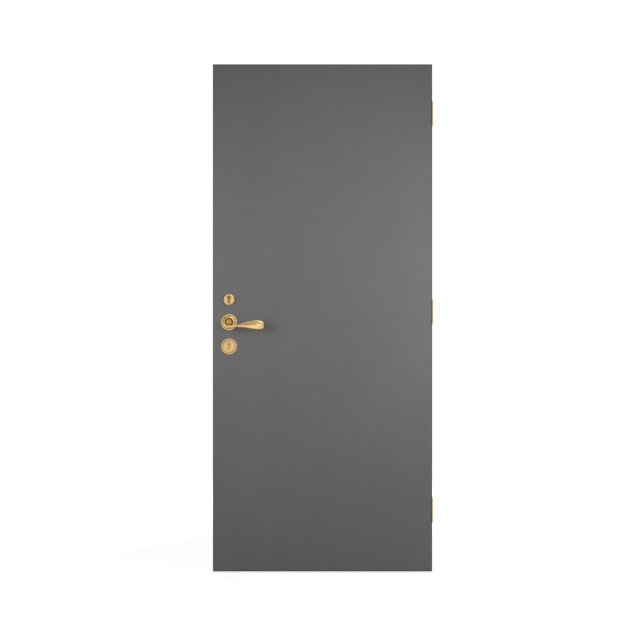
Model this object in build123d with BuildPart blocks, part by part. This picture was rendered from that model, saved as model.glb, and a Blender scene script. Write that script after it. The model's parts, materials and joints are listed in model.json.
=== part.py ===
"""A flush door leaf of wood-plastic composite, hung on three butt hinges, with brass fittings.

Millimetres, +Z up. The visible face looks along -Y, the lock side is at -X, the hinge side at +X.
The origin is on the flat of the bottom hinge's frame leaf, the face that lies on the door jamb,
at the middle of its four screw holes. The leaf opens towards +Y about the hinge pins.
"""

import os
from math import cos, floor, radians, sin

from build123d import *

# Door leaf
LEAF_WIDTH = 908.0
LEAF_HEIGHT = 2100.0
LEAF_THICKNESS = 40.0
LIPPING = 4.0
LIPPING_CHAMFER = 1.2
SKIN = 3.5
LOCK_STILE_WIDTH = 125.0
HINGE_STILE_WIDTH = 62.0
TOP_RAIL_HEIGHT = 90.0
BOTTOM_RAIL_HEIGHT = 130.0

# Extruded hollow core
CELL_WIDTH = 38.0
CELL_WEB = 6.0
CELL_WALL = 4.5
CELL_CORNER = 5.0

# Butt hinges
HINGE_HEIGHT = 100.0
HINGE_LEAF_WIDTH = 35.0
HINGE_PLATE = 3.0
HINGE_GAP = 2.0
HINGE_CORNER = 8.0
HINGE_FIT = 0.1
KNUCKLES = 5
KNUCKLE_RADIUS = 6.0
KNUCKLE_GAP = 0.3
KNUCKLE_RELIEF = 0.5
PIN_RADIUS = 3.0
PIN_CLEARANCE = 0.08
PIN_BEHIND_FACE = 7.0
PIN_HEAD_RADIUS = 5.0
PIN_HEAD_HEIGHT = 4.0
SCREW_RADIUS = 2.5
SCREW_HEAD_RADIUS = 4.5
SCREW_HEAD_ANGLE = 90.0
SCREW_ROW_SPACING = 76.0
SCREW_COLUMN_SPACING = 14.0
PATTERN_TO_PIN = 21.0
BOTTOM_HINGE_RISE = 250.0
TOP_HINGE_DROP = 200.0

# Places of the fittings on the leaf
BACKSET = 67.0
SPINDLE_RISE = 1032.0
LOWER_CYLINDER_DROP = 92.0
UPPER_CYLINDER_RISE = 102.0

# Profile cylinders
CYLINDER_HEAD_RADIUS = 8.5
CYLINDER_LEG_WIDTH = 10.0
CYLINDER_HEIGHT = 33.0
CYLINDER_PROUD = 2.0
CYLINDER_FIT = 0.5
CYLINDER_BORE_FIT = 1.5
CAM_SLOT_WIDTH = 10.0
PLUG_RADIUS = 6.5
PLUG_LENGTH = 14.0
PLUG_FIT = 0.1
PLUG_PROUD = 0.4
KEYWAY_WIDTH = 2.2
KEYWAY_HEIGHT = 8.6
KEYWAY_OFFSET = 1.1
KEYWAY_DEPTH = 12.0

# Roses
LEVER_ROSE_RADIUS = 33.3
LEVER_ROSE_HEIGHT = 10.0
ROSE_RECESS_RADIUS = 17.3
ROSE_FLOOR = 2.0
UPPER_ROSE_RADIUS = 23.6
LOWER_ROSE_RADIUS = 32.7
KEY_ROSE_HEIGHT = 8.0
ROSE_RIM_HEIGHT = 2.2
ROSE_RIM_WIDTH = 4.0
ROSE_BEAD_WIDTH = 2.4
ROSE_BEAD_RISE = 0.9
ROSE_SHOULDER = 3.5

# Bearing ring round the lever's neck
RING_HEIGHT = 2.4
RING_FIT = 0.2

# Lever handle and its spindle
NECK_RADIUS = 12.3
NECK_FIT = 0.3
BOSS_PROUD = 7.0
BOSS_ROUND = 1.2
GRUB_HOLE_RADIUS = 2.1
GRUB_HOLE_DEPTH = 3.0
LEVER_REACH = 145.0
LEVER_PROJECTION = 50.0
LEVER_DROP = 16.0
WRIST_REACH = 34.0
WRIST_RADIUS = 4.3
GRIP_RISE = 20.0
GRIP_FALL = 17.3
GRIP_FRONT = 6.6
GRIP_BACK = 5.6
SPINDLE_SIDE = 8.0
SPINDLE_FIT = 0.1
SPINDLE_INSERT = 15.0
SPINDLE_BORE_RADIUS = 9.0

# Mortise lock
CASE_THICKNESS = 16.0
CASE_BEHIND_SPINDLE = 35.0
CASE_ABOVE_UPPER_CYLINDER = 34.0
CASE_BELOW_LOWER_CYLINDER = 48.0
CASE_POCKET_FIT = 0.5
FOREND_WIDTH = 22.0
FOREND_THICKNESS = 3.0
FOREND_OVERLAP = 32.0
FOREND_FIT = 0.2
FOREND_SCREW_INSET = 12.0
FIXING_SCREW_DROP = 14.0
BOLT_THICKNESS = 11.0
BOLT_LENGTH = 30.0
BOLT_FIT = 0.25
LATCH_HEIGHT = 42.0
DEAD_BOLT_HEIGHT = 34.0
UPPER_BOLT_HEIGHT = 26.0
DEAD_BOLT_ABOVE_CYLINDER = 24.0
UPPER_BOLT_ABOVE_CYLINDER = 8.0

# Planes and places that follow from the sizes
JAMB_X = 0.0
PIN_X = JAMB_X - HINGE_PLATE - HINGE_GAP / 2
PIN_Y = PATTERN_TO_PIN
HINGE_EDGE_X = JAMB_X - HINGE_PLATE - HINGE_GAP
LOCK_EDGE_X = HINGE_EDGE_X - LEAF_WIDTH
BACK_Y = PIN_Y - PIN_BEHIND_FACE
FRONT_Y = BACK_Y - LEAF_THICKNESS
MIDDLE_X = (HINGE_EDGE_X + LOCK_EDGE_X) / 2
MIDDLE_Y = (FRONT_Y + BACK_Y) / 2
BOTTOM_Z = -BOTTOM_HINGE_RISE
TOP_Z = BOTTOM_Z + LEAF_HEIGHT
TOP_HINGE_Z = TOP_Z - TOP_HINGE_DROP
HINGES = {"bottom": 0.0, "middle": TOP_HINGE_Z / 2, "top": TOP_HINGE_Z}

SPINDLE_X = LOCK_EDGE_X + BACKSET
SPINDLE_Z = BOTTOM_Z + SPINDLE_RISE
LOWER_CYLINDER_Z = SPINDLE_Z - LOWER_CYLINDER_DROP
UPPER_CYLINDER_Z = SPINDLE_Z + UPPER_CYLINDER_RISE
CYLINDERS = {"upper": UPPER_CYLINDER_Z, "lower": LOWER_CYLINDER_Z}
CYLINDER_AXIS_RISE = CYLINDER_HEIGHT / 2 - CYLINDER_HEAD_RADIUS
CYLINDER_LEG_DROP = CYLINDER_HEIGHT - CYLINDER_HEAD_RADIUS - CYLINDER_LEG_WIDTH / 2

INNER_BOTTOM_Z = BOTTOM_Z + LIPPING
INNER_TOP_Z = TOP_Z - LIPPING
STILE_THICKNESS = LEAF_THICKNESS - 2 * SKIN
CASE_LOW_Z = LOWER_CYLINDER_Z - CASE_BELOW_LOWER_CYLINDER
CASE_HIGH_Z = UPPER_CYLINDER_Z + CASE_ABOVE_UPPER_CYLINDER
CASE_DEPTH = BACKSET + CASE_BEHIND_SPINDLE - FOREND_THICKNESS
LOCK_STILE_X = (LOCK_EDGE_X + LIPPING, LOCK_EDGE_X + LIPPING + LOCK_STILE_WIDTH)
HINGE_STILE_X = (HINGE_EDGE_X - LIPPING - HINGE_STILE_WIDTH, HINGE_EDGE_X - LIPPING)

FRONT_FACE = Plane.XZ.offset(-FRONT_Y)
MIDDLE_PLANE = Plane.XZ.offset(-MIDDLE_Y)


def block(label, x, y, z):
    """A plain block between two coordinates on each axis."""
    with BuildPart() as body:
        with BuildSketch(Plane.XY.offset(z[0])):
            with Locations(((x[0] + x[1]) / 2, (y[0] + y[1]) / 2)):
                Rectangle(x[1] - x[0], y[1] - y[0])
        extrude(amount=z[1] - z[0])
    body.part.label = label
    return body.part


def mirrored(front, label):
    """The back face's copy of a fitting on the front face."""
    with BuildPart() as back:
        mirror(front, about=MIDDLE_PLANE)
    back.part.label = label
    return back.part


def cylinder_outline(plane, axis_z, grow=0.0):
    """The keyhole-shaped outline of a profile cylinder, grown by its clearance for a cut-out."""
    with BuildSketch(plane) as outline:
        with Locations((SPINDLE_X, axis_z)):
            Circle(CYLINDER_HEAD_RADIUS + grow)
        with Locations((SPINDLE_X, axis_z - CYLINDER_LEG_DROP / 2)):
            SlotCenterToCenter(CYLINDER_LEG_DROP, CYLINDER_LEG_WIDTH + 2 * grow, rotation=90)
    return outline.sketch


def fitting_holes(plane, cylinder_grow):
    """The spindle's round hole and both cylinders' holes, as one sketch."""
    with BuildSketch(plane) as holes:
        with Locations((SPINDLE_X, SPINDLE_Z)):
            Circle(SPINDLE_BORE_RADIUS)
        for axis_z in CYLINDERS.values():
            add(cylinder_outline(Plane.XY, axis_z, cylinder_grow))
    return holes.sketch


def case_outline(grow=0.0):
    """The lock case's end, or the pocket that holds it, behind the forend."""
    with BuildSketch(Plane.YZ.offset(LOCK_EDGE_X + FOREND_THICKNESS)) as outline:
        with Locations((MIDDLE_Y, (CASE_LOW_Z + CASE_HIGH_Z) / 2)):
            Rectangle(CASE_THICKNESS + 2 * grow, CASE_HIGH_Z - CASE_LOW_Z + 2 * grow)
    return outline.sketch


# The leaf's frame and core


def lock_stile():
    """The lock side's upright, with the pocket for the case and the cross holes."""
    with BuildPart() as stile:
        with BuildSketch(Plane.XY.offset(INNER_BOTTOM_Z)):
            with Locations((sum(LOCK_STILE_X) / 2, MIDDLE_Y)):
                Rectangle(LOCK_STILE_WIDTH, STILE_THICKNESS)
        extrude(amount=INNER_TOP_Z - INNER_BOTTOM_Z)
        pocket = case_outline(CASE_POCKET_FIT)
        extrude(pocket, amount=CASE_DEPTH + CASE_POCKET_FIT, mode=Mode.SUBTRACT)
        holes = fitting_holes(MIDDLE_PLANE, CYLINDER_BORE_FIT)
        extrude(holes, amount=STILE_THICKNESS / 2, both=True, mode=Mode.SUBTRACT)
    stile.part.label = "lock_stile"
    return stile.part


def hollow_core():
    """The extruded infill between the stiles: a row of upright cells with rounded corners."""
    left, right = LOCK_STILE_X[1], HINGE_STILE_X[0]
    low, high = INNER_BOTTOM_Z + BOTTOM_RAIL_HEIGHT, INNER_TOP_Z - TOP_RAIL_HEIGHT
    pitch = CELL_WIDTH + CELL_WEB
    cells = floor((right - left - CELL_WEB) / pitch)
    with BuildPart() as core:
        with BuildSketch(Plane.XY.offset(low)):
            with Locations(((left + right) / 2, MIDDLE_Y)):
                Rectangle(right - left, STILE_THICKNESS)
                with GridLocations(pitch, 0, cells, 1):
                    RectangleRounded(
                        CELL_WIDTH,
                        STILE_THICKNESS - 2 * CELL_WALL,
                        CELL_CORNER,
                        mode=Mode.SUBTRACT,
                    )
        extrude(amount=high - low)
    core.part.label = "hollow_core"
    return core.part


def front_skin():
    """The grey face sheet, with the holes that the fittings pass through."""
    with BuildPart() as skin:
        with BuildSketch(FRONT_FACE):
            with Locations((MIDDLE_X, (BOTTOM_Z + TOP_Z) / 2)):
                Rectangle(LEAF_WIDTH - 2 * LIPPING, LEAF_HEIGHT - 2 * LIPPING)
        extrude(amount=-SKIN)
        holes = fitting_holes(FRONT_FACE, CYLINDER_BORE_FIT)
        extrude(holes, amount=-SKIN, mode=Mode.SUBTRACT)
    skin.part.label = "front_skin"
    return skin.part


def level_lipping(label, edge_z, inward):
    """The top or bottom edge strip, which ends between the two upright ones."""
    with BuildPart() as strip:
        with BuildSketch(Plane.XY.offset(edge_z)):
            with Locations((MIDDLE_X, MIDDLE_Y)):
                Rectangle(LEAF_WIDTH - 2 * LIPPING, LEAF_THICKNESS)
        extrude(amount=inward * LIPPING)
        outer = strip.faces().filter_by(Axis.Z).sort_by(Axis.Z)[0 if inward > 0 else -1]
        chamfer(outer.edges().filter_by(Axis.X), LIPPING_CHAMFER)
    strip.part.label = label
    return strip.part


def upright_strip(x):
    """An upright edge strip of the leaf's full height, as a sketch at its foot."""
    with BuildSketch(Plane.XY.offset(BOTTOM_Z)) as outline:
        with Locations(((x[0] + x[1]) / 2, MIDDLE_Y)):
            Rectangle(x[1] - x[0], LEAF_THICKNESS)
    return outline.sketch


def lock_lipping():
    """The lock side's edge strip, recessed for the forend and open for the lock case."""
    with BuildPart() as strip:
        extrude(upright_strip((LOCK_EDGE_X, LOCK_EDGE_X + LIPPING)), amount=LEAF_HEIGHT)
        chamfer(strip.edges().filter_by(Axis.Z).group_by(Axis.X)[0], LIPPING_CHAMFER)
        extrude(forend_outline(FOREND_FIT), amount=FOREND_THICKNESS, mode=Mode.SUBTRACT)
        extrude(case_outline(CASE_POCKET_FIT), amount=LIPPING, mode=Mode.SUBTRACT)
    strip.part.label = "lock_edge_lipping"
    return strip.part


def hinge_lipping():
    """The hinge side's edge strip, with a recess for each hinge leaf."""
    with BuildPart() as strip:
        extrude(upright_strip((HINGE_EDGE_X - LIPPING, HINGE_EDGE_X)), amount=LEAF_HEIGHT)
        chamfer(strip.edges().filter_by(Axis.Z).group_by(Axis.X)[-1], LIPPING_CHAMFER)
        for hinge_z in HINGES.values():
            recess = hinge_plate(HINGE_EDGE_X, hinge_z, HINGE_FIT)
            extrude(recess, amount=-HINGE_PLATE, mode=Mode.SUBTRACT)
    strip.part.label = "hinge_edge_lipping"
    return strip.part


# Hinges


def hinge_plate(x, hinge_z, grow=0.0):
    """A hinge leaf's outline, from its round corners to the pin's axis, or the recess for it."""
    width = HINGE_LEAF_WIDTH + grow
    with BuildSketch(Plane.YZ.offset(x)) as outline:
        with Locations((PIN_Y - width / 2, hinge_z)):
            Rectangle(width, HINGE_HEIGHT + 2 * grow)
        fillet(outline.vertices().group_by(Axis.X)[0], HINGE_CORNER)
    return outline.sketch


def hinge_leaf(label, hinge_z, plate_x, own_knuckles, screw_side):
    """One leaf of a butt hinge: plate, its own knuckles, pin bore and countersunk holes."""
    knuckle = HINGE_HEIGHT / KNUCKLES
    foot_z = hinge_z - HINGE_HEIGHT / 2
    with BuildPart() as leaf:
        extrude(hinge_plate(plate_x, hinge_z), amount=HINGE_PLATE)
        for n in range(KNUCKLES):
            own = n in own_knuckles
            low = foot_z + n * knuckle
            high = low + knuckle
            if own:
                low += KNUCKLE_GAP / 2 if n > 0 else 0
                high -= KNUCKLE_GAP / 2 if n < KNUCKLES - 1 else 0
            else:
                low -= KNUCKLE_GAP / 2
                high += KNUCKLE_GAP / 2
            radius = KNUCKLE_RADIUS if own else KNUCKLE_RADIUS + KNUCKLE_RELIEF
            with BuildSketch(Plane.XY.offset(low)):
                with Locations((PIN_X, PIN_Y)):
                    Circle(radius)
            extrude(amount=high - low, mode=Mode.ADD if own else Mode.SUBTRACT)
        with BuildSketch(Plane.XY.offset(foot_z)):
            with Locations((PIN_X, PIN_Y)):
                Circle(PIN_RADIUS + PIN_CLEARANCE)
        extrude(amount=HINGE_HEIGHT, mode=Mode.SUBTRACT)
        inner_x = plate_x if screw_side < 0 else plate_x + HINGE_PLATE
        inner_face = Plane((inner_x, 0, hinge_z), x_dir=(0, 1, 0), z_dir=(screw_side, 0, 0))
        with Locations(inner_face):
            with GridLocations(SCREW_COLUMN_SPACING, SCREW_ROW_SPACING, 2, 2):
                CounterSinkHole(
                    SCREW_RADIUS, SCREW_HEAD_RADIUS, counter_sink_angle=SCREW_HEAD_ANGLE
                )
    leaf.part.label = label
    return leaf.part


def hinge_pin(label, hinge_z):
    """A hinge pin with a round-edged button above and below the knuckles."""
    half = HINGE_HEIGHT / 2
    with BuildPart() as pin:
        with BuildSketch(Plane.XY.offset(hinge_z)):
            with Locations((PIN_X, PIN_Y)):
                Circle(PIN_RADIUS)
        extrude(amount=half, both=True)
        for face_z, outward in ((hinge_z + half, 1), (hinge_z - half, -1)):
            with BuildSketch(Plane.XY.offset(face_z)):
                with Locations((PIN_X, PIN_Y)):
                    Circle(PIN_HEAD_RADIUS)
            extrude(amount=outward * PIN_HEAD_HEIGHT)
        rims = pin.edges().filter_by(GeomType.CIRCLE).group_by(Axis.Z)
        fillet(rims[0] + rims[-1], 0.6 * PIN_HEAD_HEIGHT)
    pin.part.label = label
    return pin.part


# Roses and cylinders


def turning_plane(axis_z):
    """A plane through a cross axis, where x is the radius and y the height off the front face."""
    return Plane((SPINDLE_X, FRONT_Y, axis_z), x_dir=(1, 0, 0), z_dir=(0, 0, -1))


def shoulder(foot, top):
    """The full curve of a rose between two points of its profile, foot outside and top inside."""
    span, rise = foot[0] - top[0], top[1] - foot[1]
    ThreePointArc(foot, (foot[0] - 0.36 * span, foot[1] + 0.72 * rise), top)


def rose_rim(radius, crown_radius, height):
    """A rose's outer profile from its foot over the rim, the bead and the shoulder to its crown."""
    bead_out = radius - ROSE_RIM_WIDTH
    bead_in = bead_out - ROSE_BEAD_WIDTH
    bead_mid = (bead_out + bead_in) / 2
    lip = ROSE_RIM_HEIGHT / 2
    bend = cos(radians(45))
    Line((radius, 0), (radius, lip))
    ThreePointArc(
        (radius, lip),
        (radius - lip * (1 - bend), lip + lip * bend),
        (radius - lip, ROSE_RIM_HEIGHT),
    )
    Line((radius - lip, ROSE_RIM_HEIGHT), (bead_out, ROSE_RIM_HEIGHT))
    ThreePointArc(
        (bead_out, ROSE_RIM_HEIGHT),
        (bead_mid, ROSE_RIM_HEIGHT + ROSE_BEAD_RISE),
        (bead_in, ROSE_RIM_HEIGHT),
    )
    shoulder((bead_in, ROSE_RIM_HEIGHT), (crown_radius, height))


def lever_rose():
    """The lever's round rose: beaded rim, domed ring and a recess round the neck."""
    crown = ROSE_RECESS_RADIUS + 2.5
    bore = NECK_RADIUS + NECK_FIT
    with BuildPart() as rose:
        with BuildSketch(turning_plane(SPINDLE_Z)):
            with BuildLine():
                rose_rim(LEVER_ROSE_RADIUS, crown, LEVER_ROSE_HEIGHT)
                Polyline(
                    (crown, LEVER_ROSE_HEIGHT),
                    (ROSE_RECESS_RADIUS + 0.8, LEVER_ROSE_HEIGHT),
                    (ROSE_RECESS_RADIUS, LEVER_ROSE_HEIGHT - 0.8),
                    (ROSE_RECESS_RADIUS, ROSE_FLOOR),
                    (bore, ROSE_FLOOR),
                    (bore, 0),
                    (LEVER_ROSE_RADIUS, 0),
                )
            make_face()
        revolve(axis=Axis((SPINDLE_X, 0, SPINDLE_Z), (0, -1, 0)))
    rose.part.label = "front_lever_rose"
    return rose.part


def bearing_ring():
    """The thin ring on the rose's floor that the lever's neck turns in."""
    with BuildPart() as ring:
        with BuildSketch(FRONT_FACE.offset(ROSE_FLOOR)):
            with Locations((SPINDLE_X, SPINDLE_Z)):
                Circle(ROSE_RECESS_RADIUS - RING_FIT)
                Circle(NECK_RADIUS + NECK_FIT, mode=Mode.SUBTRACT)
        extrude(amount=RING_HEIGHT)
        chamfer(ring.edges().group_by(Axis.Y)[0], 0.5)
    ring.part.label = "front_bearing_ring"
    return ring.part


def key_rose(name, radius, axis_z, beaded):
    """A round escutcheon with the opening for its profile cylinder, plain or with a beaded rim."""
    centre_z = axis_z - CYLINDER_AXIS_RISE
    with BuildPart() as rose:
        with BuildSketch(turning_plane(centre_z)):
            with BuildLine():
                if beaded:
                    crown = radius - ROSE_RIM_WIDTH - ROSE_BEAD_WIDTH - ROSE_SHOULDER
                    rose_rim(radius, crown, KEY_ROSE_HEIGHT)
                else:
                    crown = radius - ROSE_SHOULDER
                    Line((radius, 0), (radius, ROSE_RIM_HEIGHT))
                    shoulder((radius, ROSE_RIM_HEIGHT), (crown, KEY_ROSE_HEIGHT))
                Polyline((crown, KEY_ROSE_HEIGHT), (0, KEY_ROSE_HEIGHT), (0, 0), (radius, 0))
            make_face()
        revolve(axis=Axis((SPINDLE_X, 0, centre_z), (0, -1, 0)))
        opening = cylinder_outline(FRONT_FACE, axis_z, CYLINDER_FIT)
        extrude(opening, amount=KEY_ROSE_HEIGHT, mode=Mode.SUBTRACT)
    rose.part.label = f"front_{name}_rose"
    return rose.part


def cylinder_half_length():
    """From the leaf's middle to the cylinder's face."""
    return LEAF_THICKNESS / 2 + KEY_ROSE_HEIGHT + CYLINDER_PROUD


def profile_cylinder(name, axis_z):
    """A double profile cylinder with a plug bore at each end and the cam slot in the middle."""
    half = cylinder_half_length()
    with BuildPart() as cylinder:
        extrude(cylinder_outline(MIDDLE_PLANE, axis_z), amount=half, both=True)
        faces = cylinder.faces().sort_by(Axis.Y)
        chamfer(faces[0].outer_wire().edges() + faces[-1].outer_wire().edges(), 0.6)
        for plane in (MIDDLE_PLANE.offset(half), MIDDLE_PLANE.offset(-half)):
            inward = -1 if plane.origin.Y < MIDDLE_Y else 1
            with BuildSketch(plane):
                with Locations((SPINDLE_X, axis_z)):
                    Circle(PLUG_RADIUS + PLUG_FIT)
            extrude(amount=inward * PLUG_LENGTH, mode=Mode.SUBTRACT)
        with BuildSketch(MIDDLE_PLANE):
            with Locations((SPINDLE_X, axis_z)):
                Rectangle(
                    2 * CYLINDER_HEAD_RADIUS + 2,
                    2 * CYLINDER_HEAD_RADIUS + CYLINDER_LEG_DROP / 2,
                )
        extrude(amount=CAM_SLOT_WIDTH / 2, both=True, mode=Mode.SUBTRACT)
    cylinder.part.label = f"{name}_cylinder"
    return cylinder.part


def key_plug(name, axis_z):
    """The turning plug in a cylinder's front end, with its stepped keyway."""
    face = MIDDLE_PLANE.offset(cylinder_half_length() + PLUG_PROUD)
    with BuildPart() as plug:
        with BuildSketch(face):
            with Locations((SPINDLE_X, axis_z)):
                Circle(PLUG_RADIUS)
        extrude(amount=-(PLUG_LENGTH + PLUG_PROUD))
        chamfer(plug.edges().group_by(Axis.Y)[0], 0.3)
        with BuildSketch(face):
            with Locations((SPINDLE_X - KEYWAY_OFFSET / 2, axis_z + KEYWAY_HEIGHT / 4)):
                Rectangle(KEYWAY_WIDTH, KEYWAY_HEIGHT / 2)
            with Locations((SPINDLE_X + KEYWAY_OFFSET / 2, axis_z - KEYWAY_HEIGHT / 4)):
                Rectangle(KEYWAY_WIDTH, KEYWAY_HEIGHT / 2)
        extrude(amount=-KEYWAY_DEPTH, mode=Mode.SUBTRACT)
    plug.part.label = f"front_{name}_plug"
    return plug.part


# Mortise lock


def forend_outline(grow=0.0):
    """The forend's outline on the lock edge, or the recess for it."""
    length = CASE_HIGH_Z - CASE_LOW_Z + 2 * FOREND_OVERLAP - FOREND_WIDTH
    with BuildSketch(Plane.YZ.offset(LOCK_EDGE_X)) as outline:
        with Locations((MIDDLE_Y, (CASE_LOW_Z + CASE_HIGH_Z) / 2)):
            SlotCenterToCenter(length, FOREND_WIDTH + 2 * grow, rotation=90)
    return outline.sketch


def bolt_levels():
    """Each bolt's middle level and height."""
    return {
        "latch_bolt": (SPINDLE_Z, LATCH_HEIGHT),
        "dead_bolt": (LOWER_CYLINDER_Z + DEAD_BOLT_ABOVE_CYLINDER, DEAD_BOLT_HEIGHT),
        "upper_bolt": (UPPER_CYLINDER_Z + UPPER_BOLT_ABOVE_CYLINDER, UPPER_BOLT_HEIGHT),
    }


def bolt_openings():
    """The three bolts' openings on the lock edge, as one sketch."""
    with BuildSketch(Plane.YZ.offset(LOCK_EDGE_X)) as openings:
        for level, height in bolt_levels().values():
            with Locations((MIDDLE_Y, level)):
                Rectangle(BOLT_THICKNESS + 2 * BOLT_FIT, height + 2 * BOLT_FIT)
    return openings.sketch


def lock_forend():
    """The brass plate on the lock edge: bolt openings, end screws and the cylinders' screws."""
    middle = (CASE_LOW_Z + CASE_HIGH_Z) / 2
    reach = (CASE_HIGH_Z - CASE_LOW_Z) / 2 + FOREND_OVERLAP - FOREND_SCREW_INSET
    outer_face = Plane((LOCK_EDGE_X, MIDDLE_Y, middle), x_dir=(0, 1, 0), z_dir=(-1, 0, 0))
    with BuildPart() as forend:
        extrude(forend_outline(), amount=FOREND_THICKNESS)
        extrude(bolt_openings(), amount=FOREND_THICKNESS, mode=Mode.SUBTRACT)
        with Locations(outer_face):
            with GridLocations(0, 2 * reach, 1, 2):
                CounterSinkHole(
                    SCREW_RADIUS, SCREW_HEAD_RADIUS, counter_sink_angle=SCREW_HEAD_ANGLE
                )
            for axis_z in CYLINDERS.values():
                with Locations((0, middle - axis_z + FIXING_SCREW_DROP)):
                    CounterSinkHole(
                        SCREW_RADIUS, SCREW_HEAD_RADIUS, counter_sink_angle=SCREW_HEAD_ANGLE
                    )
    forend.part.label = "lock_forend"
    return forend.part


def lock_case():
    """The lock's steel case, open for the bolts, the spindle and both cylinders."""
    with BuildPart() as case:
        extrude(case_outline(), amount=CASE_DEPTH)
        extrude(bolt_openings(), amount=BOLT_LENGTH + 2 * BOLT_FIT, mode=Mode.SUBTRACT)
        holes = fitting_holes(MIDDLE_PLANE, CYLINDER_FIT)
        extrude(holes, amount=CASE_THICKNESS / 2, both=True, mode=Mode.SUBTRACT)
    case.part.label = "lock_case"
    return case.part


def lock_bolt(label, level, height):
    """A bolt drawn back into the case, its nose flush with the forend."""
    with BuildPart() as bolt:
        with BuildSketch(Plane.YZ.offset(LOCK_EDGE_X + BOLT_FIT)):
            with Locations((MIDDLE_Y, level)):
                Rectangle(BOLT_THICKNESS, height)
        extrude(amount=BOLT_LENGTH)
        chamfer(bolt.faces().sort_by(Axis.X)[0].edges(), 0.8)
    bolt.part.label = label
    return bolt.part


# Lever


def lever_section(reach, out, level, turn, rise, fall, front, back, scoop):
    """One section across the lever, drawn on its own plane.

    reach, out and level place it from the spindle on the face; turn is 0 where the lever comes
    straight out of the rose and 90 where it runs along the leaf. rise and fall are its extent above
    and below the ridge, front and back its extent off the centre line. scoop hollows the face
    above the ridge, from 0 where the section is round.
    """
    angle = radians(turn)
    plane = Plane(
        (SPINDLE_X + reach, FRONT_Y - out, SPINDLE_Z + level),
        x_dir=(0, 0, 1),
        z_dir=(sin(angle), -cos(angle), 0),
    )
    k = 0.5523
    hollow = (rise * (k - 0.05 * scoop), front * (1 - 0.64 * scoop))
    low_side = (-k * fall, front * (1 - 0.2 * scoop))
    quarters = (
        ((0, front), hollow, (rise, k * front), (rise, 0)),
        ((rise, 0), (rise, -k * back), (k * rise, -back), (0, -back)),
        ((0, -back), (-k * fall, -back), (-fall, -k * back), (-fall, 0)),
        ((-fall, 0), (-fall, k * front), low_side, (0, front)),
    )
    edges = []
    for points in quarters:
        placed = [plane.from_local_coords(point) for point in points]
        edges.append(Edge.make_bezier(*placed))
    return Face(Wire(edges, sequenced=True))


def neck_sections():
    """The lever's neck, which leaves the lower half of the boss and turns towards the wrist."""
    boss = LEVER_ROSE_HEIGHT + BOSS_PROUD
    sections = []
    for outward, along, down, turn, rise, fall, side in (
        (-0.12, 0.0, 0.50, 0, 0.22, 0.24, 0.62),
        (0.09, 0.0, 0.55, 4, 0.26, 0.36, 0.73),
        (0.36, 0.01, 0.67, 16, 0.32, 0.56, 0.81),
        (0.66, 0.13, 0.84, 38, 0.36, 0.73, 0.74),
        (0.90, 0.36, 0.96, 64, 0.36, 0.67, 0.58),
        (1.00, 0.68, 1.01, 84, 0.325, 0.50, 0.45),
    ):
        out = boss + outward * (LEVER_PROJECTION - boss)
        sections.append(
            lever_section(
                along * WRIST_REACH,
                out,
                -down * LEVER_DROP,
                turn,
                rise * NECK_RADIUS,
                fall * NECK_RADIUS,
                side * NECK_RADIUS,
                side * NECK_RADIUS,
                0,
            )
        )
    return sections


def grip_sections():
    """The lever's broad grip, which swells from the wrist and has a ridge along its front."""
    deep = 1.12 * WRIST_RADIUS
    sections = [
        lever_section(
            WRIST_REACH,
            LEVER_PROJECTION,
            -0.97 * LEVER_DROP,
            90,
            WRIST_RADIUS,
            WRIST_RADIUS,
            deep,
            deep,
            0,
        )
    ]
    for along, lift, rise, fall, front, back, scoop in (
        (0.11, 0.13, 0.29, 0.40, 0.80, 0.88, 0.15),
        (0.23, 0.17, 0.53, 0.48, 0.92, 0.95, 0.4),
        (0.36, 0.20, 0.74, 0.60, 1.00, 1.00, 0.65),
        (0.51, 0.21, 0.88, 0.77, 1.06, 1.00, 0.9),
        (0.65, 0.22, 0.98, 0.91, 1.10, 1.00, 1.0),
        (0.78, 0.23, 1.00, 1.00, 1.08, 0.98, 1.0),
        (0.88, 0.23, 0.90, 1.01, 0.94, 0.90, 0.8),
        (0.95, 0.24, 0.75, 0.88, 0.70, 0.72, 0.45),
        (1.00, 0.25, 0.55, 0.62, 0.38, 0.44, 0.0),
    ):
        sections.append(
            lever_section(
                WRIST_REACH + along * (LEVER_REACH - WRIST_REACH),
                LEVER_PROJECTION * (1 - 0.04 * along**2),
                LEVER_DROP * (lift - 1),
                90,
                rise * GRIP_RISE,
                fall * GRIP_FALL,
                front * GRIP_FRONT,
                back * GRIP_BACK,
                scoop,
            )
        )
    return sections


def front_lever():
    """The lever: a turned boss in the rose, then one loft through neck, wrist and grip."""
    with BuildPart() as lever:
        with BuildSketch(FRONT_FACE.offset(ROSE_FLOOR)):
            with Locations((SPINDLE_X, SPINDLE_Z)):
                Circle(NECK_RADIUS)
        extrude(amount=LEVER_ROSE_HEIGHT + BOSS_PROUD - ROSE_FLOOR)
        fillet(lever.edges().group_by(Axis.Y)[0], BOSS_ROUND)
        loft(neck_sections() + grip_sections())
        with BuildSketch(Plane.XY.offset(SPINDLE_Z - NECK_RADIUS)):
            with Locations((SPINDLE_X, FRONT_Y - LEVER_ROSE_HEIGHT - BOSS_PROUD / 2)):
                Circle(GRUB_HOLE_RADIUS)
        extrude(amount=GRUB_HOLE_DEPTH, mode=Mode.SUBTRACT)
        with BuildSketch(FRONT_FACE):
            with Locations((SPINDLE_X, SPINDLE_Z)):
                Rectangle(SPINDLE_SIDE + 2 * SPINDLE_FIT, SPINDLE_SIDE + 2 * SPINDLE_FIT)
        extrude(amount=SPINDLE_INSERT, mode=Mode.SUBTRACT)
    lever.part.label = "front_lever"
    return lever.part


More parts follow.
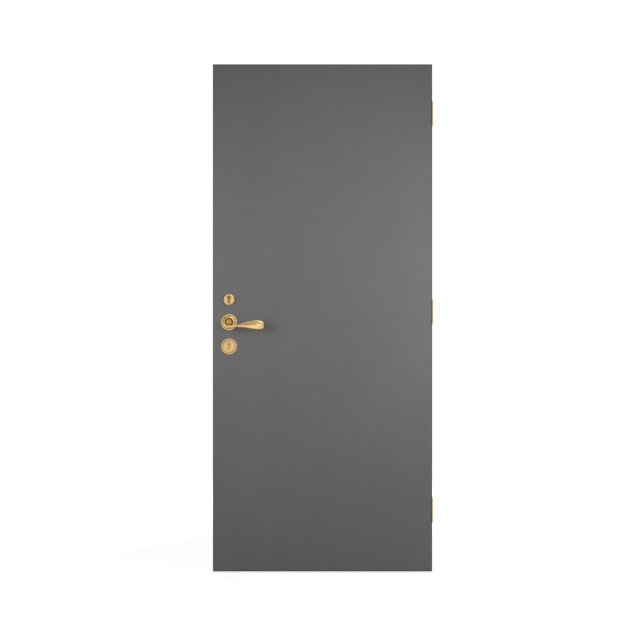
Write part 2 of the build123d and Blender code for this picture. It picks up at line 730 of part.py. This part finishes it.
def spindle():
    """The square bar through the leaf that joins both levers."""
    with BuildPart() as bar:
        with BuildSketch(MIDDLE_PLANE):
            with Locations((SPINDLE_X, SPINDLE_Z)):
                Rectangle(SPINDLE_SIDE, SPINDLE_SIDE)
        extrude(amount=LEAF_THICKNESS / 2 + SPINDLE_INSERT - SPINDLE_FIT, both=True)
    bar.part.label = "spindle"
    return bar.part


def leaf_pieces():
    """The composite leaf: stiles, rails, core, skins and edge strips."""
    inner_y = (FRONT_Y + SKIN, BACK_Y - SKIN)
    between = (LOCK_STILE_X[1], HINGE_STILE_X[0])
    skin = front_skin()
    return [
        lock_stile(),
        block("hinge_stile", HINGE_STILE_X, inner_y, (INNER_BOTTOM_Z, INNER_TOP_Z)),
        block("top_rail", between, inner_y, (INNER_TOP_Z - TOP_RAIL_HEIGHT, INNER_TOP_Z)),
        block(
            "bottom_rail", between, inner_y, (INNER_BOTTOM_Z, INNER_BOTTOM_Z + BOTTOM_RAIL_HEIGHT)
        ),
        hollow_core(),
        skin,
        mirrored(skin, "back_skin"),
        lock_lipping(),
        hinge_lipping(),
        level_lipping("top_edge_lipping", TOP_Z, -1),
        level_lipping("bottom_edge_lipping", BOTTOM_Z, 1),
    ]


def hinge_pieces():
    """Three butt hinges: frame leaf, door leaf and pin for each."""
    frame_knuckles = range(0, KNUCKLES, 2)
    door_knuckles = range(1, KNUCKLES, 2)
    pieces = []
    for name, hinge_z in HINGES.items():
        pieces += [
            hinge_leaf(
                f"{name}_hinge_frame_leaf", hinge_z, JAMB_X - HINGE_PLATE, frame_knuckles, -1
            ),
            hinge_leaf(
                f"{name}_hinge_door_leaf", hinge_z, HINGE_EDGE_X - HINGE_PLATE, door_knuckles, 1
            ),
            hinge_pin(f"{name}_hinge_pin", hinge_z),
        ]
    return pieces


def lock_pieces():
    """The mortise lock and the two profile cylinders with their plugs."""
    pieces = [lock_case(), lock_forend()]
    pieces += [lock_bolt(label, *place) for label, place in bolt_levels().items()]
    for name, axis_z in CYLINDERS.items():
        plug = key_plug(name, axis_z)
        pieces += [profile_cylinder(name, axis_z), plug, mirrored(plug, f"back_{name}_plug")]
    return pieces


def handle_pieces():
    """Roses, bearing rings and levers on both faces, and the spindle between them."""
    fronts = [
        lever_rose(),
        bearing_ring(),
        key_rose("upper", UPPER_ROSE_RADIUS, UPPER_CYLINDER_Z, beaded=False),
        key_rose("lower", LOWER_ROSE_RADIUS, LOWER_CYLINDER_Z, beaded=True),
        front_lever(),
    ]
    backs = [mirrored(piece, piece.label.replace("front_", "back_")) for piece in fronts]
    return fronts + backs + [spindle()]


os.makedirs("parts", exist_ok=True)
for piece in leaf_pieces() + hinge_pieces() + lock_pieces() + handle_pieces():
    export_step(piece, f"parts/{piece.label}.step")
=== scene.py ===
"""Looks for the wood-plastic composite door: finishes, small fittings, studio and camera.

Metres, in the frame of the CAD model: +Z up, the visible face looks along -Y.
"""

import json
from math import cos, pi, sin

import bmesh
import bpy
from mathutils import Matrix, Vector


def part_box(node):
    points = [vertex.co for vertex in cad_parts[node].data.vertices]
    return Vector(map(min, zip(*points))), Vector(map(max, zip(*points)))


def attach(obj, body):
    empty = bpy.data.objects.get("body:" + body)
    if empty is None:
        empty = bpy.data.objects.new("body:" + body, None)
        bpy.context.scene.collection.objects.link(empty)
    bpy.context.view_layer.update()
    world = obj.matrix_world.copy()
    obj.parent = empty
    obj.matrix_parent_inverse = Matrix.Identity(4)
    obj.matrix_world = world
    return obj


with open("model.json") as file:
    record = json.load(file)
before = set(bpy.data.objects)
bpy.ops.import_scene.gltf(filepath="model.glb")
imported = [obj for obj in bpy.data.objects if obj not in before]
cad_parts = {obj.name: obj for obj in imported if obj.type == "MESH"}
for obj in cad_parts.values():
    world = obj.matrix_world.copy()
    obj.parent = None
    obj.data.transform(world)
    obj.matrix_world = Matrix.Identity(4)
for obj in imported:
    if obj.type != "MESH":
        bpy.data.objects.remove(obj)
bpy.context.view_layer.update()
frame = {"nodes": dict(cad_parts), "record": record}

MM = 0.001
OPAQUE = 1.0

# Where the leaf lies in the square photograph, in its pixels
PHOTO_SIDE = 640.0
LEAF_HEIGHT_PX = 507.1
LEAF_CENTRE_PX = (322.5, 317.8)

# Camera
CAMERA_DISTANCE = 5.0
SENSOR_WIDTH = 36.0

# Beads on the roses
BEAD_INSET = 5.2 * MM
BEAD_LEVEL = 2.6 * MM
BEAD_RADIUS = 1.0 * MM
BEAD_PITCH = 2.6 * MM

# Countersunk screws in the hinges and the forend
SCREW_COLUMN_SPACING = 14.0 * MM
SCREW_ROW_SPACING = 76.0 * MM
SCREW_HEAD_RADIUS = 4.3 * MM
SCREW_SHANK_RADIUS = 2.3 * MM
SCREW_HEAD_DEPTH = 2.0 * MM
SCREW_SUNK = 0.15 * MM
SCREW_LENGTH = 2.9 * MM
SCREW_EDGE_HEIGHT = 0.12 * MM
SCREW_EDGE_ROUND = 0.15 * MM
SCREW_TURN = 0.7
CROSS_ARM = 2.3 * MM
CROSS_HALF_WIDTH = 0.5 * MM
CROSS_DEPTH = 1.3 * MM
CROSS_TAPER = 0.6
CIRCLE_STEPS = 40
FOREND_SCREW_INSET = 12.0 * MM
FIXING_SCREW_DROP = 14.0 * MM

# Set screws in the levers' bosses
SET_SCREW_RADIUS = 2.0 * MM
SET_SCREW_LENGTH = 2.4 * MM
SET_SCREW_SUNK = 0.5 * MM
SET_SCREW_SOCKET = 1.1 * MM
SET_SCREW_SOCKET_DEPTH = 1.4 * MM
SET_SCREW_CHAMFER = 0.25 * MM
BOSS_RADIUS = 12.3 * MM
BOSS_REACH = 13.5 * MM

# Colours, as linear red, green and blue
FACE_GREY = (0.147, 0.143, 0.141)
EDGE_GREY = (0.050, 0.049, 0.048)
COMPOSITE_BROWN = (0.33, 0.26, 0.19)
BRASS = (0.84, 0.59, 0.27)
# Darker brass tones used as painted shade in recesses and round the spindle
BRASS_IN_PAINTED_SHADE = (0.46, 0.26, 0.065)
DULL_BRASS = (0.40, 0.25, 0.095)
DULL_BRASS_IN_PAINTED_SHADE = (0.15, 0.08, 0.022)
LOWER_CYLINDER_BRASS = (0.70, 0.46, 0.18)
# The ring round each lever's neck: its own dark brown, made darker still as painted shade of the
# recess it sits in
RING_BROWN_AND_SHADE = (0.21, 0.115, 0.028)
STEEL = (0.46, 0.46, 0.47)
WHITE = (1.0, 1.0, 1.0)
WARM = (1.0, 0.78, 0.55)
FLOOR_GREY = (0.86, 0.86, 0.86)

# How far from the spindle the painted shade round it fades: across the leaf's face, then off it
SPINDLE_SHADE_RADII = (12.5 * MM, 18.0 * MM)
SPINDLE_SHADE_DEPTHS = (37.5 * MM, 43.0 * MM)

# How close brass has to stand to other brass to take painted shade, as in a recess
SHADE_REACH = 4.5 * MM

# Floor. Off its middle, gloss takes in its white share from FLOOR_FOOT to FLOOR_NEAR, and that share
# grows to the whole from FLOOR_NEAR to FLOOR_FAR
FLOOR_GAP = 5.0 * MM
FLOOR_SIDE = 60.0
FLOOR_FOOT = 0.35
FLOOR_NEAR = 0.95
FLOOR_FAR = 3.2

LEAF_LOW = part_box("lock_edge_lipping")[0]
LEAF_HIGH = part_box("hinge_edge_lipping")[1]
LEAF_CENTRE = (LEAF_LOW + LEAF_HIGH) / 2
FRONT_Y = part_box("front_skin")[0].y
BACK_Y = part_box("back_skin")[1].y
SPINDLE = (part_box("spindle")[0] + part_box("spindle")[1]) / 2

# What the front and the back lamps point at
LEAF_AIM = (-0.46, 0.0, 0.95)
BACK_AIM = (-0.46, 0.0, 0.8)


# Shader building blocks


def start_material(name):
    """A new node material with its tree, its shader and a piece's own coordinates."""
    material = bpy.data.materials.new(name)
    material.use_nodes = True
    tree = material.node_tree
    coordinates = tree.nodes.new("ShaderNodeTexCoord").outputs["Object"]
    return material, tree, tree.nodes["Principled BSDF"], coordinates


def stretched(tree, coordinates, stretch):
    """Coordinates multiplied by a factor on each axis."""
    mapping = tree.nodes.new("ShaderNodeMapping")
    mapping.inputs["Scale"].default_value = stretch
    tree.links.new(coordinates, mapping.inputs["Vector"])
    return mapping.outputs["Vector"]


def noise(tree, coordinates, scale, detail=3.0, roughness=0.5):
    """Soft random variation from 0 to 1, with scale patches to the metre."""
    node = tree.nodes.new("ShaderNodeTexNoise")
    node.inputs["Scale"].default_value = scale
    node.inputs["Detail"].default_value = detail
    node.inputs["Roughness"].default_value = roughness
    tree.links.new(coordinates, node.inputs["Vector"])
    return node.outputs["Fac"]


def spread(tree, value, low, high, to_low, to_high):
    """A value mapped from one range to another and clamped there."""
    node = tree.nodes.new("ShaderNodeMapRange")
    node.inputs["From Min"].default_value = low
    node.inputs["From Max"].default_value = high
    node.inputs["To Min"].default_value = to_low
    node.inputs["To Max"].default_value = to_high
    tree.links.new(value, node.inputs["Value"])
    return node.outputs["Result"]


def blend_colours(tree, factor, first, second):
    """A colour between two others; each is a colour or another node's output."""
    node = tree.nodes.new("ShaderNodeMix")
    node.data_type = "RGBA"
    tree.links.new(factor, node.inputs["Factor"])
    for socket, colour in (("A", first), ("B", second)):
        colour_input = [s for s in node.inputs if s.name == socket and s.type == "RGBA"][0]
        if isinstance(colour, tuple):
            colour_input.default_value = (*colour, OPAQUE)
        else:
            tree.links.new(colour, colour_input)
    return [s for s in node.outputs if s.type == "RGBA"][0]


def tinted(tree, value, span, share, first, second):
    """The first colour, which turns by a share into the second as a value crosses a span."""
    return blend_colours(tree, spread(tree, value, *span, 0.0, share), first, second)


def combined(tree, operation, first, second):
    """Two values joined by a plain operation."""
    node = tree.nodes.new("ShaderNodeMath")
    node.operation = operation
    tree.links.new(first, node.inputs[0])
    tree.links.new(second, node.inputs[1])
    return node.outputs["Value"]


def multiply(tree, first, second):
    """The product of two values."""
    return combined(tree, "MULTIPLY", first, second)


def maximum(tree, first, second):
    """The larger of two values."""
    return combined(tree, "MAXIMUM", first, second)


def distance(tree, coordinates, axes, point):
    """How far a place is from a point, counted only along the axes given as 1."""
    node = tree.nodes.new("ShaderNodeVectorMath")
    node.operation = "DISTANCE"
    tree.links.new(stretched(tree, coordinates, axes), node.inputs[0])
    node.inputs[1].default_value = [axis * part for axis, part in zip(axes, point)]
    return node.outputs["Value"]


def emboss(tree, shader, height, depth, below=None):
    """Bump of a given depth in metres on the shader, over another bump if one is given."""
    node = tree.nodes.new("ShaderNodeBump")
    node.inputs["Distance"].default_value = depth
    tree.links.new(height, node.inputs["Height"])
    if below is not None:
        tree.links.new(below, node.inputs["Normal"])
    tree.links.new(node.outputs["Normal"], shader.inputs["Normal"])
    return node.outputs["Normal"]


def shade(colour, factor):
    """A colour made darker or lighter."""
    return tuple(channel * factor for channel in colour)


# Materials


def film_material(name, colour, roughness, edge_wear):
    """Matt grey film over composite: fine grain, faint upright streaks, worn arrises."""
    material, tree, shader, coordinates = start_material(name)
    cloud = noise(tree, coordinates, 3.5, 4.0)
    speckle = noise(tree, coordinates, 700.0, 2.0)
    streaks = noise(tree, stretched(tree, coordinates, (1.0, 1.0, 0.03)), 260.0, 3.0)
    tone = tinted(tree, cloud, (0.3, 0.7), 1.0, shade(colour, 0.97), shade(colour, 1.03))
    tone = tinted(tree, speckle, (0.35, 0.75), 0.16, tone, shade(colour, 1.5))
    tone = tinted(tree, streaks, (0.5, 0.8), 0.14, tone, shade(colour, 0.6))
    corner = tree.nodes.new("ShaderNodeNewGeometry").outputs["Pointiness"]
    chips = spread(tree, noise(tree, coordinates, 60.0, 5.0), 0.45, 0.7, 0.0, edge_wear)
    worn = multiply(tree, spread(tree, corner, 0.52, 0.6, 0.0, 1.0), chips)
    tone = blend_colours(tree, worn, tone, shade(colour, 2.0))
    tree.links.new(tone, shader.inputs["Base Color"])
    gloss = spread(tree, speckle, 0.3, 0.7, roughness - 0.05, roughness + 0.06)
    tree.links.new(gloss, shader.inputs["Roughness"])
    grain = emboss(tree, shader, noise(tree, coordinates, 1100.0, 3.0), 0.04 * MM)
    emboss(tree, shader, streaks, 0.03 * MM, grain)
    shader.inputs["Specular IOR Level"].default_value = 0.3
    return material


def composite_material(name, colour):
    """Bare wood-plastic composite: brown plastic with pale and dark wood fibres."""
    material, tree, shader, coordinates = start_material(name)
    fibres = noise(tree, stretched(tree, coordinates, (1.0, 1.0, 0.12)), 900.0, 4.0, 0.6)
    cloud = noise(tree, coordinates, 40.0, 3.0)
    tone = tinted(tree, cloud, (0.3, 0.7), 1.0, shade(colour, 0.88), shade(colour, 1.1))
    tone = tinted(tree, fibres, (0.55, 0.75), 0.7, tone, shade(colour, 1.6))
    tone = tinted(tree, fibres, (0.45, 0.25), 0.7, tone, shade(colour, 0.4))
    tree.links.new(tone, shader.inputs["Base Color"])
    tree.links.new(spread(tree, fibres, 0.3, 0.7, 0.6, 0.8), shader.inputs["Roughness"])
    emboss(tree, shader, fibres, 0.15 * MM)
    return material


def brass_material(name, bright, shade_tone, smooth, rough, low_bright=None):
    """Polished brass: clouded lacquer, fine wiping marks, and painted shade that darkens it in the
    recesses.

    Round the spindle, in the roses' recess and on the bosses, painted shade makes it as dark as in
    the recesses.
    low_bright is the tone of pieces below the spindle, where it differs.
    """
    material, tree, shader, coordinates = start_material(name)
    shader.inputs["Metallic"].default_value = 1.0
    cloud = noise(tree, coordinates, 60.0, 5.0, 0.6)
    marks = noise(tree, stretched(tree, coordinates, (1.0, 1.0, 7.0)), 500.0, 4.0, 0.65)
    tone = tinted(tree, cloud, (0.35, 0.7), 1.0, bright, shade(bright, 0.86))
    if low_bright is not None:
        split = tree.nodes.new("ShaderNodeSeparateXYZ")
        tree.links.new(coordinates, split.inputs["Vector"])
        level = SPINDLE.z
        low = spread(tree, split.outputs["Z"], level - 10 * MM, level + 10 * MM, 1.0, 0.0)
        tone = blend_colours(tree, low, tone, low_bright)
    # Painted shade: ambient occlusion darkens brass where other brass stands close
    recess = tree.nodes.new("ShaderNodeAmbientOcclusion")
    recess.samples = 8
    recess.inputs["Distance"].default_value = SHADE_REACH
    painted_shade = spread(tree, recess.outputs["AO"], 0.3, 0.9, 0.7, 0.0)
    # Painted shade round the spindle: on the bosses and in the roses' recess, fading off the leaf's
    # face
    radius = distance(tree, coordinates, (1.0, 0.0, 1.0), SPINDLE)
    depth = distance(tree, coordinates, (0.0, 1.0, 0.0), SPINDLE)
    near_spindle = spread(tree, radius, *SPINDLE_SHADE_RADII, 0.85, 0.0)
    at_face = spread(tree, depth, *SPINDLE_SHADE_DEPTHS, 1.0, 0.0)
    painted_shade = maximum(tree, painted_shade, multiply(tree, near_spindle, at_face))
    tone = blend_colours(tree, painted_shade, tone, shade_tone)
    tree.links.new(tone, shader.inputs["Base Color"])
    gloss = spread(tree, marks, 0.3, 0.75, smooth, rough)
    tree.links.new(gloss, shader.inputs["Roughness"])
    emboss(tree, shader, marks, 0.01 * MM)
    return material


def ring_material(name, colour):
    """Dark moulded plastic with a satin surface; part of its darkness is painted shade."""
    material, tree, shader, coordinates = start_material(name)
    cloud = noise(tree, coordinates, 250.0, 3.0)
    tone = tinted(tree, cloud, (0.3, 0.7), 1.0, shade(colour, 0.8), shade(colour, 1.3))
    tree.links.new(tone, shader.inputs["Base Color"])
    tree.links.new(spread(tree, cloud, 0.3, 0.7, 0.3, 0.45), shader.inputs["Roughness"])
    emboss(tree, shader, noise(tree, coordinates, 2500.0, 2.0), 0.02 * MM)
    return material


def steel_material(name, colour):
    """Brushed steel, with fine lines along the door's height."""
    material, tree, shader, coordinates = start_material(name)
    shader.inputs["Metallic"].default_value = 1.0
    lines = noise(tree, stretched(tree, coordinates, (1.0, 1.0, 0.02)), 2400.0, 3.0)
    cloud = noise(tree, coordinates, 35.0, 4.0)
    tone = tinted(tree, cloud, (0.3, 0.7), 1.0, shade(colour, 0.85), shade(colour, 1.1))
    tree.links.new(tone, shader.inputs["Base Color"])
    tree.links.new(spread(tree, lines, 0.3, 0.7, 0.28, 0.45), shader.inputs["Roughness"])
    emboss(tree, shader, lines, 0.01 * MM)
    return material


def slot_materials():
    """One material for each of the record's slots."""
    return {
        "face_sheet": film_material("grey_face_film", FACE_GREY, 0.6, 0.0),
        "edge_strip": film_material("grey_edge_film", EDGE_GREY, 0.45, 0.5),
        "composite": composite_material("bare_composite", COMPOSITE_BROWN),
        "brass": brass_material("polished_brass", BRASS, BRASS_IN_PAINTED_SHADE, 0.2, 0.34),
        "cylinder_brass": brass_material(
            "dull_brass", DULL_BRASS, DULL_BRASS_IN_PAINTED_SHADE, 0.26, 0.42, LOWER_CYLINDER_BRASS
        ),
        "dark_ring": ring_material("ring_with_painted_shade", RING_BROWN_AND_SHADE),
        "lock_steel": steel_material("brushed_steel", STEEL),
    }


def dress_nodes(materials):
    """Gives every CAD piece the material of its slot."""
    for subpart in frame["record"]["subparts"]:
        node = frame["nodes"][subpart["node"]]
        node.data.materials.clear()
        node.data.materials.append(materials[subpart["material_slot"]])


# Small pieces


def add_piece(name, mesh, material, body):
    """Makes an object of a bmesh and sets its finish and its body."""
    data = bpy.data.meshes.new(name)
    bmesh.ops.recalc_face_normals(mesh, faces=mesh.faces)
    mesh.to_mesh(data)
    mesh.free()
    data.materials.append(material)
    piece = bpy.data.objects.new(name, data)
    bpy.context.scene.collection.objects.link(piece)
    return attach(piece, body)


def bead_ring(rose, materials):
    """A ring of round beads, seated on the raised bead of a rose."""
    low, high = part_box(rose)
    centre = (low + high) / 2
    outward = -1 if centre.y < FRONT_Y else 1
    face = FRONT_Y if outward < 0 else BACK_Y
    radius = (high.x - low.x) / 2 - BEAD_INSET
    count = round(2 * pi * radius / BEAD_PITCH)
    level = face + outward * BEAD_LEVEL
    beads = bmesh.new()
    for n in range(count):
        angle = 2 * pi * n / count
        place = (centre.x + radius * cos(angle), level, centre.z + radius * sin(angle))
        seat = Matrix.Translation(place)
        bmesh.ops.create_uvsphere(
            beads, u_segments=14, v_segments=9, radius=BEAD_RADIUS, matrix=seat
        )
    for patch in beads.faces:
        patch.smooth = True
    return add_piece(f"{rose}_beads", beads, materials["brass"], "door_leaf")


def cross_outline(scale, level):
    """The corners of a cross-shaped recess at one level, in order round it."""
    arm, half = CROSS_ARM * scale, CROSS_HALF_WIDTH * scale
    quarter = [Vector((x, y, level)) for x, y in ((half, half), (half, arm), (-half, arm))]
    turns = [Matrix.Rotation(n * pi / 2, 3, "Z") for n in range(4)]
    return [turn @ corner for turn in turns for corner in quarter]


def circle(radius, level, count=CIRCLE_STEPS):
    """Points round a circle at one level."""
    turns = (2 * pi * n / count for n in range(count))
    return [Vector((radius * cos(turn), radius * sin(turn), level)) for turn in turns]


def bridge(mesh, lower, upper):
    """Faces between two loops of as many points."""
    count = len(lower)
    for n in range(count):
        following = (n + 1) % count
        mesh.faces.new((lower[n], lower[following], upper[following], upper[n]))


def loop_edges(mesh, loop):
    """The edges round a loop of points."""
    count = len(loop)
    pairs = [(loop[n], loop[(n + 1) % count]) for n in range(count)]
    return [mesh.edges.get(pair) or mesh.edges.new(pair) for pair in pairs]


def recessed_head(name, profile, mouth, floor):
    """A turned head with a recess in its top: radii with levels, then the recess's two outlines."""
    mesh = bmesh.new()
    rings = []
    for radius, level in profile:
        rings.append([mesh.verts.new(point) for point in circle(radius, level)])
    for lower, upper in zip(rings, rings[1:]):
        bridge(mesh, lower, upper)
    mesh.faces.new(rings[0])
    upper = [mesh.verts.new(point) for point in mouth]
    lower = [mesh.verts.new(point) for point in floor]
    bridge(mesh, lower, upper)
    mesh.faces.new(lower)
    edges = loop_edges(mesh, rings[-1]) + loop_edges(mesh, upper)
    bmesh.ops.triangle_fill(mesh, use_beauty=True, edges=edges)
    data = bpy.data.meshes.new(name)
    mesh.to_mesh(data)
    mesh.free()
    return data


def cross_screw():
    """A countersunk screw's head with a cross recess, looking along +Z, top at the origin."""
    profile = (
        (SCREW_SHANK_RADIUS, -SCREW_LENGTH),
        (SCREW_SHANK_RADIUS, -SCREW_HEAD_DEPTH),
        (SCREW_HEAD_RADIUS, -SCREW_EDGE_HEIGHT),
        (SCREW_HEAD_RADIUS - SCREW_EDGE_ROUND, 0.0),
    )
    mouth = cross_outline(1.0, 0.0)
    floor = cross_outline(CROSS_TAPER, -CROSS_DEPTH)
    return recessed_head("cross_screw", profile, mouth, floor)


def set_screw():
    """A set screw with a six-sided socket, looking along +Z, top at the origin."""
    profile = (
        (SET_SCREW_RADIUS, -SET_SCREW_LENGTH),
        (SET_SCREW_RADIUS, -SET_SCREW_CHAMFER),
        (SET_SCREW_RADIUS - SET_SCREW_CHAMFER, 0.0),
    )
    mouth = circle(SET_SCREW_SOCKET, 0.0, count=6)
    floor = circle(SET_SCREW_SOCKET, -SET_SCREW_SOCKET_DEPTH, count=6)
    return recessed_head("set_screw", profile, mouth, floor)


def screws(name, pattern, places, outward, material, body):
    """Screws at several places, their heads looking outward, each turned a little differently."""
    facing = outward.to_track_quat("Z", "Y").to_matrix().to_4x4()
    joined = bmesh.new()
    for n, place in enumerate(places):
        before = len(joined.verts)
        joined.from_mesh(pattern)
        turn = Matrix.Rotation(SCREW_TURN * n + 0.3, 4, "Z")
        joined.verts.ensure_lookup_table()
        seat = Matrix.Translation(place)
        bmesh.ops.transform(joined, matrix=seat @ facing @ turn, verts=joined.verts[before:])
    return add_piece(name, joined, material, body)


def hinge_screws(hinge, pattern, materials):
    """The four screws that hold a hinge's door leaf in the leaf's edge."""
    low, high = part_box(f"{hinge}_hinge_door_leaf")
    level = (low.z + high.z) / 2
    x = LEAF_HIGH.x - SCREW_SUNK
    places = [
        Vector((x, side * SCREW_COLUMN_SPACING / 2, level + rise * SCREW_ROW_SPACING / 2))
        for side in (-1, 1)
        for rise in (-1, 1)
    ]
    name = f"{hinge}_hinge_door_screws"
    out = Vector((1, 0, 0))
    return screws(name, pattern, places, out, materials["brass"], "door_leaf")


def forend_screws(pattern, materials):
    """The screws that hold the lock's forend, and those that fix the two cylinders."""
    low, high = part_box("lock_forend")
    levels = [low.z + FOREND_SCREW_INSET, high.z - FOREND_SCREW_INSET]
    for plug in ("front_upper_plug", "front_lower_plug"):
        plug_low, plug_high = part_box(plug)
        levels.append((plug_low.z + plug_high.z) / 2 - FIXING_SCREW_DROP)
    x, y = low.x + SCREW_SUNK, (low.y + high.y) / 2
    places = [Vector((x, y, level)) for level in levels]
    out = Vector((-1, 0, 0))
    return screws("forend_screws", pattern, places, out, materials["brass"], "door_leaf")


def lever_set_screws(pattern, materials):
    """The set screws under the two levers' bosses, which hold the levers on the spindle."""
    low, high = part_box("spindle")
    x, z = (low.x + high.x) / 2, (low.z + high.z) / 2 - BOSS_RADIUS + SET_SCREW_SUNK
    places = [Vector((x, y, z)) for y in (FRONT_Y - BOSS_REACH, BACK_Y + BOSS_REACH)]
    down = Vector((0, 0, -1))
    steel = materials["lock_steel"]
    return screws("lever_set_screws", pattern, places, down, steel, "lever_set")


# Studio


def light_path_rays(tree):
    """Two factors: 1 for rays from the camera, and 1 also for those seen in gloss or glass."""
    path = tree.nodes.new("ShaderNodeLightPath")
    seen = path.outputs["Is Camera Ray"]
    for kind in ("Is Glossy Ray", "Is Transmission Ray"):
        seen = maximum(tree, seen, path.outputs[kind])
    return path.outputs["Is Camera Ray"], seen


def surround(tree, factor, colours, strengths):
    """Background light that goes from one colour and strength to another with a factor."""
    background = tree.nodes.new("ShaderNodeBackground")
    tree.links.new(blend_colours(tree, factor, *colours), background.inputs["Color"])
    tree.links.new(spread(tree, factor, 0.0, 1.0, *strengths), background.inputs["Strength"])
    return background.outputs["Background"]


def studio_world(ambient):
    """White to the camera; as light a pale room; in gloss a room with warm, dimmer parts.

    Those parts are the ceiling's left half, outside a pale patch overhead, and the left wall.
    """
    world = bpy.data.worlds.new("studio")
    bpy.context.scene.world = world
    world.use_nodes = True
    tree = world.node_tree
    tree.nodes.clear()
    direction = tree.nodes.new("ShaderNodeTexCoord").outputs["Generated"]
    split = tree.nodes.new("ShaderNodeSeparateXYZ")
    tree.links.new(direction, split.inputs["Vector"])
    height, sideways = split.outputs["Z"], split.outputs["X"]
    ceiling = spread(tree, height, 0.12, 0.5, 0.0, 1.0)
    below_patch = spread(tree, height, 0.7, 0.9, 1.0, 0.0)
    left_half = spread(tree, sideways, 0.05, 0.4, 1.0, 0.15)
    wall = spread(tree, sideways, -0.35, -0.8, 0.0, 0.8)
    dim = maximum(tree, multiply(tree, multiply(tree, ceiling, below_patch), left_half), wall)
    diffuse = surround(tree, ceiling, (WHITE, WHITE), (ambient, ambient * 0.6))
    glossy = surround(tree, dim, (WHITE, WARM), (1.0, 0.46))
    backdrop = tree.nodes.new("ShaderNodeBackground")
    backdrop.inputs["Color"].default_value = (*WHITE, OPAQUE)
    camera_ray, seen = light_path_rays(tree)
    shader = diffuse
    for factor, other in ((seen, glossy), (camera_ray, backdrop.outputs["Background"])):
        mix = tree.nodes.new("ShaderNodeMixShader")
        tree.links.new(factor, mix.inputs["Fac"])
        tree.links.new(shader, mix.inputs[1])
        tree.links.new(other, mix.inputs[2])
        shader = mix.outputs["Shader"]
    output = tree.nodes.new("ShaderNodeOutputWorld")
    tree.links.new(shader, output.inputs["Surface"])


def floor_material(glow, share):
    """A pale matt floor that keeps the shadow, and turns plain white further off.

    Gloss shows it without its white share at the leaf's foot.
    """
    material, tree, shader, coordinates = start_material("pale_floor")
    shader.inputs["Base Color"].default_value = (*FLOOR_GREY, OPAQUE)
    shader.inputs["Roughness"].default_value = 0.9
    shader.inputs["Specular IOR Level"].default_value = 0.0
    length = tree.nodes.new("ShaderNodeVectorMath")
    length.operation = "LENGTH"
    tree.links.new(coordinates, length.inputs[0])
    away = length.outputs["Value"]
    camera_ray, seen = light_path_rays(tree)
    white = tree.nodes.new("ShaderNodeEmission")
    tree.links.new(spread(tree, away, FLOOR_NEAR, FLOOR_FAR, glow, 1.0), white.inputs["Strength"])
    cover = spread(tree, away, FLOOR_NEAR, FLOOR_FAR, share, 1.0)
    foot = tree.nodes.new("ShaderNodeMapRange")
    foot.inputs["From Min"].default_value = FLOOR_FOOT
    foot.inputs["From Max"].default_value = FLOOR_NEAR
    tree.links.new(away, foot.inputs["Value"])
    tree.links.new(camera_ray, foot.inputs["To Min"])
    mix = tree.nodes.new("ShaderNodeMixShader")
    white_share = multiply(tree, cover, foot.outputs["Result"])
    tree.links.new(multiply(tree, white_share, seen), mix.inputs["Fac"])
    tree.links.new(shader.outputs["BSDF"], mix.inputs[1])
    tree.links.new(white.outputs["Emission"], mix.inputs[2])
    tree.links.new(mix.outputs["Shader"], tree.nodes["Material Output"].inputs["Surface"])
    return material


def floor():
    """The floor just under the hanging leaf."""
    mesh = bmesh.new()
    bmesh.ops.create_grid(mesh, x_segments=2, y_segments=2, size=FLOOR_SIDE / 2)
    data = bpy.data.meshes.new("floor")
    mesh.to_mesh(data)
    mesh.free()
    data.materials.append(floor_material(glow=2.35, share=0.3))
    plane = bpy.data.objects.new("floor", data)
    plane.location = (LEAF_CENTRE.x, LEAF_CENTRE.y, LEAF_LOW.z - FLOOR_GAP)
    bpy.context.scene.collection.objects.link(plane)


def lamp(name, place, target, side, power, highlight=False):
    """A soft square lamp that the camera doesn't see; gloss shows a highlight lamp alone."""
    data = bpy.data.lights.new(name, "AREA")
    data.shape = "SQUARE"
    data.size = side
    data.energy = power
    light = bpy.data.objects.new(name, data)
    light.location = place
    aim = Vector(target) - Vector(place)
    light.rotation_euler = aim.to_track_quat("-Z", "Y").to_euler()
    light.visible_camera = False
    light.visible_glossy = highlight
    light.visible_diffuse = not highlight
    bpy.context.scene.collection.objects.link(light)


def lamps():
    """Soft lamps at both sides of the front, one for the brass's highlights, one for the back."""
    lamp("right_lamp", (0.6, -1.05, 1.0), LEAF_AIM, side=0.8, power=15.0)
    lamp("left_lamp", (-1.55, -1.0, 1.0), LEAF_AIM, side=0.8, power=9.4)
    lamp("brass_lamp", (-0.38, -0.95, 1.75), SPINDLE, side=0.6, power=2.8, highlight=True)
    lamp("back_lamp", (-0.3, 2.6, 1.9), BACK_AIM, side=1.6, power=34.0)


def camera():
    """A camera square to the face, framed as the photograph is."""
    frame_width = (LEAF_HIGH.z - LEAF_LOW.z) / LEAF_HEIGHT_PX * PHOTO_SIDE
    pixel = frame_width / PHOTO_SIDE
    data = bpy.data.cameras.new("camera")
    data.sensor_width = SENSOR_WIDTH
    data.lens = SENSOR_WIDTH * CAMERA_DISTANCE / frame_width
    viewer = bpy.data.objects.new("camera", data)
    viewer.location = (
        LEAF_CENTRE.x + (PHOTO_SIDE / 2 - LEAF_CENTRE_PX[0]) * pixel,
        FRONT_Y - CAMERA_DISTANCE,
        LEAF_CENTRE.z - (PHOTO_SIDE / 2 - LEAF_CENTRE_PX[1]) * pixel,
    )
    viewer.rotation_euler = (pi / 2, 0.0, 0.0)
    bpy.context.scene.collection.objects.link(viewer)
    bpy.context.scene.camera = viewer


materials = slot_materials()
dress_nodes(materials)
for side in ("front", "back"):
    for rose in ("lever_rose", "lower_rose"):
        bead_ring(f"{side}_{rose}", materials)
cross_pattern = cross_screw()
for hinge in ("bottom", "middle", "top"):
    hinge_screws(hinge, cross_pattern, materials)
forend_screws(cross_pattern, materials)
lever_set_screws(set_screw(), materials)

studio_world(ambient=0.24)
floor()
lamps()
camera()
bpy.context.scene.view_settings.view_transform = "Standard"
